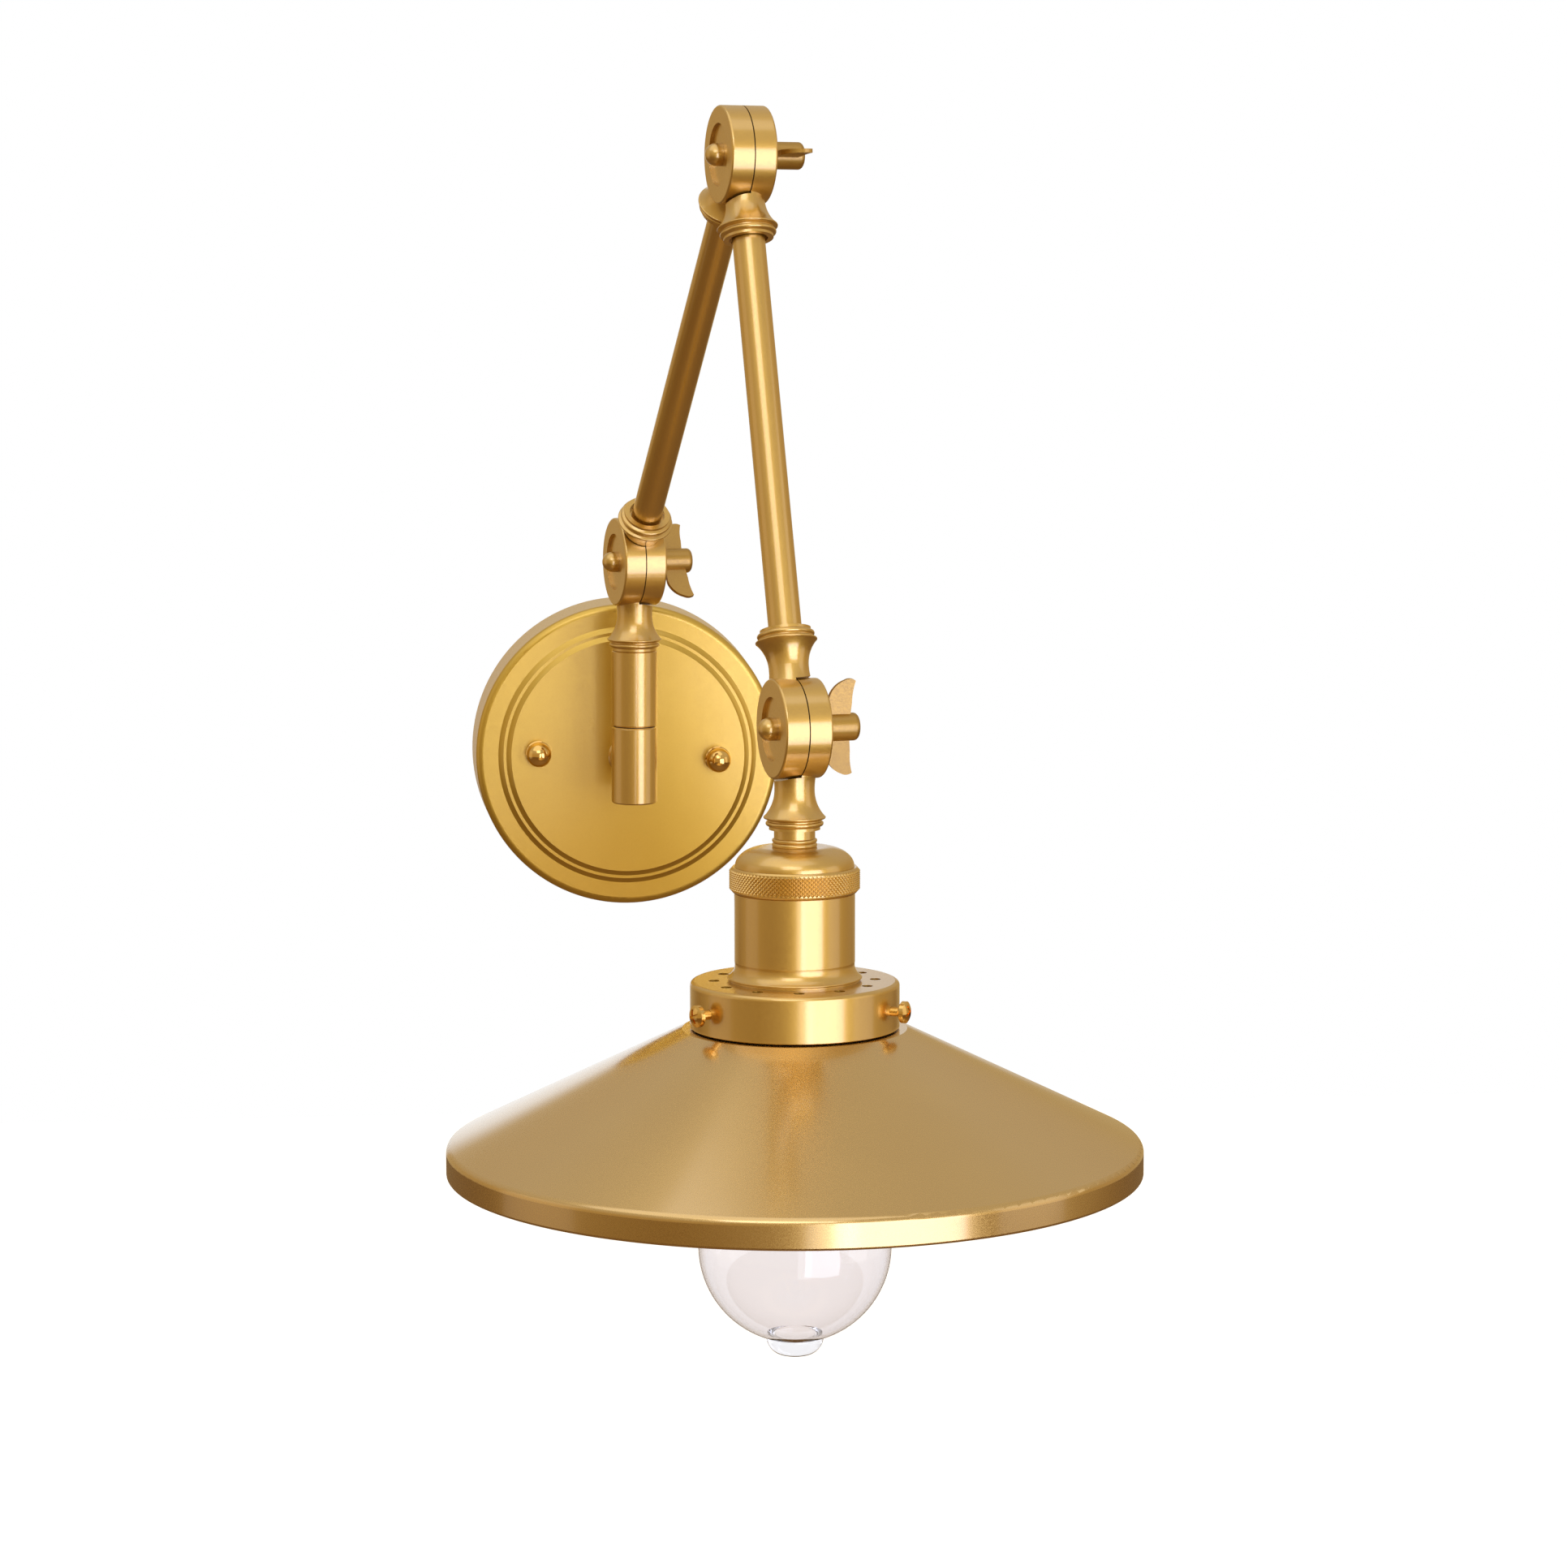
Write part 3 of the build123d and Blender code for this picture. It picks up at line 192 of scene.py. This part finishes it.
def bump(tree, shader, height, depth):
    """Raise the surface by height, a socket from 0 to 1, times depth in metres."""
    node = add_node(tree, "ShaderNodeBump")
    node.inputs["Strength"].default_value = 1.0
    node.inputs["Distance"].default_value = depth
    tree.links.new(height, node.inputs["Height"])
    tree.links.new(node.outputs["Normal"], shader.inputs["Normal"])


# ---------------------------------------------------------------- materials
PAINT_DRIFT = 0.045  # sizes of the slow changes of tone,
PAINT_WAVE = 0.009  # the waves of the metal below
PAINT_FLAKE = 0.0006  # and the flakes in the lacquer
PAINT_SPREAD = (0.88, 1.12)
PAINT_IOR = 2.1
PAINT_RELIEF = 0.0003  # the reliefs below are parts of this height
FLAKE_RELIEF = 0.006
PIT_RELIEF = 0.3
PIT_SPACING = 0.011
PIT_RADIUS = 0.00032
PIT_SHARE = 0.16
# Colour the pits are multiplied by: painted shade in the recesses.
PIT_PAINTED_SHADE = (0.45, 0.36, 0.25, 1)

METAL_CLOUD = 0.006  # size of the uneven polish
METAL_SCRATCH = 0.00075
METAL_SPREAD = (0.7, 1.4)
METAL_RELIEF = 0.000005

MOULDED_CLOUD = 0.008
MOULDED_GRAIN = 0.0014
MOULDED_SPREAD = (0.85, 1.15)
MOULDED_RELIEF = 0.00001

GLASS_CLOUD = 0.05
GLASS_WAVE = 0.07
GLASS_RELIEF = 0.00003
GLASS_IOR = 1.47
GLASS_PALER = 0.8  # part of the tint that the palest glass keeps


def gold_paint(name, light, dark, rough, coat_rough, waves, coat=1.0):
    """Metallic gold lacquer with tone drift, fine flake and sparse pits darkened with painted shade, over wavy
    metal.
    """
    material, tree, shader = new_material(name)
    flake = noise(tree, PAINT_FLAKE, 1.0)
    pits = specks(tree, PIT_SPACING, PIT_RADIUS, PIT_SHARE)
    tone = two_tones(tree, noise(tree, PAINT_DRIFT, 2.0), dark, light)
    # Painted shade: the pits' colour is darkened.
    colour = mix_colours(tree, "MULTIPLY", pits, tone, PIT_PAINTED_SHADE)
    tree.links.new(colour, shader.inputs["Base Color"])
    tree.links.new(uneven(tree, flake, rough, PAINT_SPREAD), shader.inputs["Roughness"])
    shader.inputs["Metallic"].default_value = 1.0
    shader.inputs["Coat Weight"].default_value = coat
    shader.inputs["Coat Roughness"].default_value = coat_rough
    shader.inputs["Coat IOR"].default_value = PAINT_IOR
    relief = combine(tree, "MULTIPLY", noise(tree, PAINT_WAVE, 2.0), waves)
    relief = combine(tree, "ADD", relief, combine(tree, "MULTIPLY", flake, FLAKE_RELIEF))
    relief = combine(tree, "SUBTRACT", relief, combine(tree, "MULTIPLY", pits, PIT_RELIEF))
    bump(tree, shader, relief, PAINT_RELIEF)
    return material


def metal(name, light, dark, rough):
    """Bare or plated metal with fine uneven polish."""
    material, tree, shader = new_material(name)
    cloud = noise(tree, METAL_CLOUD, 4.0)
    tree.links.new(two_tones(tree, cloud, dark, light), shader.inputs["Base Color"])
    tree.links.new(uneven(tree, cloud, rough, METAL_SPREAD), shader.inputs["Roughness"])
    shader.inputs["Metallic"].default_value = 1.0
    bump(tree, shader, noise(tree, METAL_SCRATCH, 2.0), METAL_RELIEF)
    return material


def moulded(name, light, dark, rough, coat=0.0):
    """Nylon, porcelain, vitrite or phosphor."""
    material, tree, shader = new_material(name)
    cloud = noise(tree, MOULDED_CLOUD, 4.0)
    tree.links.new(two_tones(tree, cloud, dark, light), shader.inputs["Base Color"])
    tree.links.new(uneven(tree, cloud, rough, MOULDED_SPREAD), shader.inputs["Roughness"])
    shader.inputs["Coat Weight"].default_value = coat
    bump(tree, shader, noise(tree, MOULDED_GRAIN, 2.0), MOULDED_RELIEF)
    return material


def clear_glass(name, tint):
    """Clear blown glass with faint waviness."""
    material, tree, shader = new_material(name)
    paler = tuple(1 - GLASS_PALER * (1 - value) for value in tint)
    colour = two_tones(tree, noise(tree, GLASS_CLOUD, 1.0), tint, paler, 0.2, 0.8)
    tree.links.new(colour, shader.inputs["Base Color"])
    shader.inputs["Transmission Weight"].default_value = 1.0
    shader.inputs["Roughness"].default_value = 0.0
    shader.inputs["IOR"].default_value = GLASS_IOR
    bump(tree, shader, noise(tree, GLASS_WAVE, 1.0), GLASS_RELIEF)
    return material


# Light and dark tones of the gold lacquers.
SATIN = ((0.70, 0.440, 0.080), (0.66, 0.405, 0.070))
# Backplate tones: a lighter, yellower copy of the satin gold that paints in light the lamps don't give the plate.
PLATE_LIT = ((0.72, 0.485, 0.080), (0.69, 0.460, 0.070))
# Wing nut tones: a darker copy of the satin gold that paints in shade, on a rougher cast finish.
CAST_SHADED = ((0.50, 0.295, 0.040), (0.46, 0.265, 0.035))
GLOSS = ((0.69, 0.455, 0.145), (0.66, 0.430, 0.135))

MATERIALS = {
    "satin_gold_paint": gold_paint(
        "satin_gold_paint", *SATIN, rough=0.40, coat_rough=0.17, waves=0.10
    ),
    # Plate copy: painted light in its lighter tone, with a thinner coat and a rougher finish.
    "satin_gold_plate_lit": gold_paint(
        "satin_gold_plate_lit", *PLATE_LIT, rough=0.42, coat_rough=0.22, waves=0.16, coat=0.35
    ),
    # Wing nut copy: painted shade in its darker tone, with a rougher cast finish.
    "satin_gold_cast_shaded": gold_paint(
        "satin_gold_cast_shaded", *CAST_SHADED, rough=0.50, coat_rough=0.30, waves=0.45, coat=0.5
    ),
    "gloss_gold_paint": gold_paint(
        "gloss_gold_paint", *GLOSS, rough=0.27, coat_rough=0.13, waves=0.03
    ),
    "polished_brass": metal("polished_brass", (0.88, 0.60, 0.22), (0.80, 0.52, 0.17), 0.10),
    "zinc_steel": metal("zinc_steel", (0.62, 0.62, 0.60), (0.48, 0.48, 0.47), 0.34),
    "ground_green": metal("ground_green", (0.05, 0.34, 0.12), (0.03, 0.24, 0.08), 0.4),
    "nickel_brass": metal("nickel_brass", (0.76, 0.73, 0.68), (0.66, 0.63, 0.58), 0.2),
    "spring_brass": metal("spring_brass", (0.80, 0.60, 0.28), (0.68, 0.48, 0.20), 0.3),
    "black_nylon": moulded("black_nylon", (0.035, 0.035, 0.035), (0.02, 0.02, 0.02), 0.55),
    "porcelain": moulded("porcelain", (0.84, 0.83, 0.80), (0.78, 0.77, 0.74), 0.22, coat=0.6),
    "black_glass": moulded(
        "black_glass", (0.03, 0.03, 0.035), (0.015, 0.015, 0.02), 0.15, coat=0.5
    ),
    "filament_yellow": moulded("filament_yellow", (0.90, 0.64, 0.14), (0.80, 0.52, 0.10), 0.45),
    "clear_glass": clear_glass("clear_glass", (0.962, 0.964, 1.0)),
}


def dress(thing, material_name):
    thing.data.materials.clear()
    thing.data.materials.append(MATERIALS[material_name])


def dress_nodes():
    """Each node in its slot's material; the plate takes a lighter copy of the satin gold with painted light, and
    the cast wing nuts a darker, rougher one with painted shade.
    """
    for name, node in nodes.items():
        if name == "backplate":
            dress(node, "satin_gold_plate_lit")
        elif "wing_nut" in name:
            dress(node, "satin_gold_cast_shaded")
        else:
            dress(node, slot_of_node[name])


# ---------------------------------------------------------------- knurled ring
KNURLS = 92  # diamonds round the ring
KNURL_ROWS = 11
KNURL_DEPTH = 0.00065
RING_RADIUS = 0.0215
RING_BORE = 0.0189  # radius of the ring's bore
RING_TOP = 0.04532  # depths down the holder's axis from the head joint
RING_BOTTOM = 0.0536
RING_BEVEL = 0.0006  # height of the plain bevels at both ends
RING_BEVEL_SLOPE = 0.8  # their width by their height


def holder_frame():
    """Frame at the head joint: z up the holder's axis, x along the joint's bolt."""
    joints = {joint["name"]: joint for joint in frame["joints"]}
    head = joints["head_tilt"]
    up = -Vector(joints["bulb_turn"]["axis"]).normalized()
    across = Vector(head["axis"]).normalized()
    forward = up.cross(across).normalized()
    turn = Matrix((across, forward, up)).transposed().to_4x4()
    return Matrix.Translation(Vector(head["pos_m"])) @ turn


def ring_of(mesh, radii, depth):
    """Closed row of vertices, at these radii from the holder's axis and this far down it."""
    verts = []
    for i, radius in enumerate(radii):
        angle = 2 * math.pi * i / len(radii)
        verts.append(mesh.verts.new((radius * math.cos(angle), radius * math.sin(angle), -depth)))
    return verts


def bridge(mesh, upper, lower):
    """Band of four-sided faces between two rows."""
    count = len(upper)
    for i in range(count):
        j = (i + 1) % count
        mesh.faces.new((upper[i], lower[i], lower[j], upper[j]))


def bridge_knurl(mesh, upper, lower, first_peak):
    """Band of triangles, split from valley to valley; the first peak above is 0 or 1."""
    count = len(upper)
    for i in range(count):
        j = (i + 1) % count
        if i % 2 == first_peak:
            mesh.faces.new((upper[i], lower[i], upper[j]))
            mesh.faces.new((upper[j], lower[i], lower[j]))
        else:
            mesh.faces.new((upper[i], lower[i], lower[j]))
            mesh.faces.new((upper[i], lower[j], upper[j]))


def make_knurled_ring():
    """Ring with a crossed knurl: pyramids on a diamond lattice between two plain bevels."""
    mesh = bmesh.new()
    count = 2 * KNURLS
    valley = RING_RADIUS - KNURL_DEPTH
    shoulder = valley - RING_BEVEL * RING_BEVEL_SLOPE
    high = RING_TOP + RING_BEVEL
    low = RING_BOTTOM - RING_BEVEL
    last = KNURL_ROWS - 1
    rows = []
    for row in range(KNURL_ROWS):
        radii = [valley] * count
        if 0 < row < last:
            radii[row % 2 :: 2] = [RING_RADIUS] * KNURLS
        rows.append(ring_of(mesh, radii, high + (low - high) * row / last))
    for row in range(last):
        bridge_knurl(mesh, rows[row], rows[row + 1], row % 2)
    top_outer = ring_of(mesh, [shoulder] * count, RING_TOP)
    top_inner = ring_of(mesh, [RING_BORE] * count, RING_TOP)
    bottom_inner = ring_of(mesh, [RING_BORE] * count, RING_BOTTOM)
    bottom_outer = ring_of(mesh, [shoulder] * count, RING_BOTTOM)
    bridge(mesh, top_outer, rows[0])
    bridge(mesh, rows[-1], bottom_outer)
    bridge(mesh, bottom_outer, bottom_inner)
    bridge(mesh, bottom_inner, top_inner)
    bridge(mesh, top_inner, top_outer)
    mesh.transform(holder_frame())
    bmesh.ops.recalc_face_normals(mesh, faces=mesh.faces)
    data = bpy.data.meshes.new("knurl")
    mesh.to_mesh(data)
    mesh.free()
    ring = bpy.data.objects.new("knurl", data)
    bpy.context.scene.collection.objects.link(ring)
    dress(ring, "satin_gold_paint")
    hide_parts("knurled_ring")
    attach(ring, "holder")


# ---------------------------------------------------------------- lights
LAMP_MIDDLE = Vector((0.02, -0.18, 0.05))

# Name, azimuth from -Y towards +X and elevation in degrees, distance from the lamp's middle,
# width and height, radiance, and colour.
SOFTBOXES = (
    ("key", 26, -5, 1.9, (1.40, 1.61), 2.35, (0.96, 1.0, 1.2)),
    ("upper", -12, 38, 2.0, (1.2, 0.8), 1.6, (1, 1, 1)),
    ("front", 5, -8, 1.9, (0.50, 1.5), 0.9, (0.95, 1.0, 1.1)),
    ("side", 72, 5, 2.0, (1.0, 1.6), 0.45, (1, 1, 1)),
    ("fill", -95, 0, 2.0, (1.2, 1.8), 0.20, (1.0, 0.94, 0.86)),
    ("top", -50, 72, 1.5, (2.0, 1.8), 0.55, (1, 1, 1)),
)


def add_softbox(name, azimuth, elevation, distance, size, radiance, colour):
    """Area light that faces the lamp and that the camera doesn't see."""
    turn, rise = math.radians(azimuth), math.radians(elevation)
    level = math.cos(rise)
    away = Vector((math.sin(turn) * level, -math.cos(turn) * level, math.sin(rise)))
    data = bpy.data.lights.new(name, "AREA")
    data.shape = "RECTANGLE"
    data.size, data.size_y = size
    data.energy = radiance * math.pi * size[0] * size[1]
    data.color = colour
    light = bpy.data.objects.new(name, data)
    light.location = LAMP_MIDDLE + away * distance
    light.rotation_euler = (-away).to_track_quat("-Z", "Y").to_euler()
    light.visible_camera = False
    bpy.context.scene.collection.objects.link(light)


# ---------------------------------------------------------------- room and floor
WHITE = (1, 1, 1, 1)
ROOM_COLOUR = (0.50, 0.35, 0.15)
CEILING_COLOUR = (0.60, 0.52, 0.38)
CEILING_START = 0.1  # the room turns into ceiling between these two, as a ray's rise
CEILING_END = 0.6
BACKDROP_START = 0.96  # and into the white backdrop between these, as its run along +Y
BACKDROP_END = 0.99

FLOOR_LEVEL = -2.0
FLOOR_SIZE = 16.0
FLOOR_ROUGHNESS = 0.9
FLOOR_GRAIN = 0.3
FLOOR_DARK = (0.60, 0.60, 0.60)
FLOOR_LIGHT = (0.63, 0.63, 0.63)
# Darker, warm floor tone seen only in the lamp's mirror images: a painted reflection.
FLOOR_PAINTED_REFLECTION = (0.50, 0.32, 0.16, 1)  # on the floor that the lamp mirrors
FLOOR_GLOW = 0.85  # brings the floor that the camera sees to white
FLOOR_GLOW_THROUGH = 0.80  # and the floor seen through glass


def backdrop_rays(tree, behind):
    """1 for camera and transmission rays, and for glossy rays where behind is 1."""
    path = add_node(tree, "ShaderNodeLightPath")
    camera_ray, glass_ray = path.outputs["Is Camera Ray"], path.outputs["Is Transmission Ray"]
    seen = combine(tree, "MAXIMUM", camera_ray, glass_ray)
    mirrored = combine(tree, "MULTIPLY", path.outputs["Is Glossy Ray"], behind)
    return combine(tree, "MAXIMUM", seen, mirrored)


def add_world():
    """White backdrop behind the lamp, a dim warm room round it and a paler ceiling."""
    world = bpy.data.worlds.new("studio")
    bpy.context.scene.world = world
    world.use_nodes = True
    tree = world.node_tree
    where = add_node(tree, "ShaderNodeTexCoord")
    split = add_node(tree, "ShaderNodeSeparateXYZ")
    tree.links.new(where.outputs["Generated"], split.inputs["Vector"])
    height = value_range(tree, split.outputs["Z"], 0.0, 1.0, CEILING_START, CEILING_END)
    room = two_tones(tree, height, ROOM_COLOUR, CEILING_COLOUR, 0.0, 1.0)
    behind = value_range(tree, split.outputs["Y"], 0.0, 1.0, BACKDROP_START, BACKDROP_END)
    colour = mix_colours(tree, "MIX", backdrop_rays(tree, behind), room, WHITE)
    tree.links.new(colour, tree.nodes["Background"].inputs["Color"])


def add_floor():
    """Pale floor, raised to white for the camera and through glass, that keeps its shadow and is painted darker
    and warmer in the lamp's reflections.
    """
    bpy.ops.mesh.primitive_plane_add(size=FLOOR_SIZE, location=(0, 0, FLOOR_LEVEL))
    floor = bpy.context.object
    floor.name = "floor"
    material, tree, shader = new_material("floor")
    path = add_node(tree, "ShaderNodeLightPath")
    grain = two_tones(tree, noise(tree, FLOOR_GRAIN), FLOOR_DARK, FLOOR_LIGHT)
    # Painted reflection: the floor is darker and warmer for glossy rays.
    colour = mix_colours(tree, "MULTIPLY", path.outputs["Is Glossy Ray"], grain, FLOOR_PAINTED_REFLECTION)
    tree.links.new(colour, shader.inputs["Base Color"])
    shader.inputs["Roughness"].default_value = FLOOR_ROUGHNESS
    glow = add_node(tree, "ShaderNodeEmission")
    seen = combine(tree, "MULTIPLY", path.outputs["Is Camera Ray"], FLOOR_GLOW)
    through = combine(tree, "MULTIPLY", path.outputs["Is Transmission Ray"], FLOOR_GLOW_THROUGH)
    tree.links.new(combine(tree, "MAXIMUM", seen, through), glow.inputs["Strength"])
    both = add_node(tree, "ShaderNodeAddShader")
    tree.links.new(shader.outputs["BSDF"], both.inputs[0])
    tree.links.new(glow.outputs["Emission"], both.inputs[1])
    tree.links.new(both.outputs["Shader"], tree.nodes["Material Output"].inputs["Surface"])
    floor.data.materials.append(material)


dress_nodes()
make_knurled_ring()
add_camera()
for softbox in SOFTBOXES:
    add_softbox(*softbox)
add_world()
add_floor()
bpy.context.scene.view_settings.view_transform = "Standard"
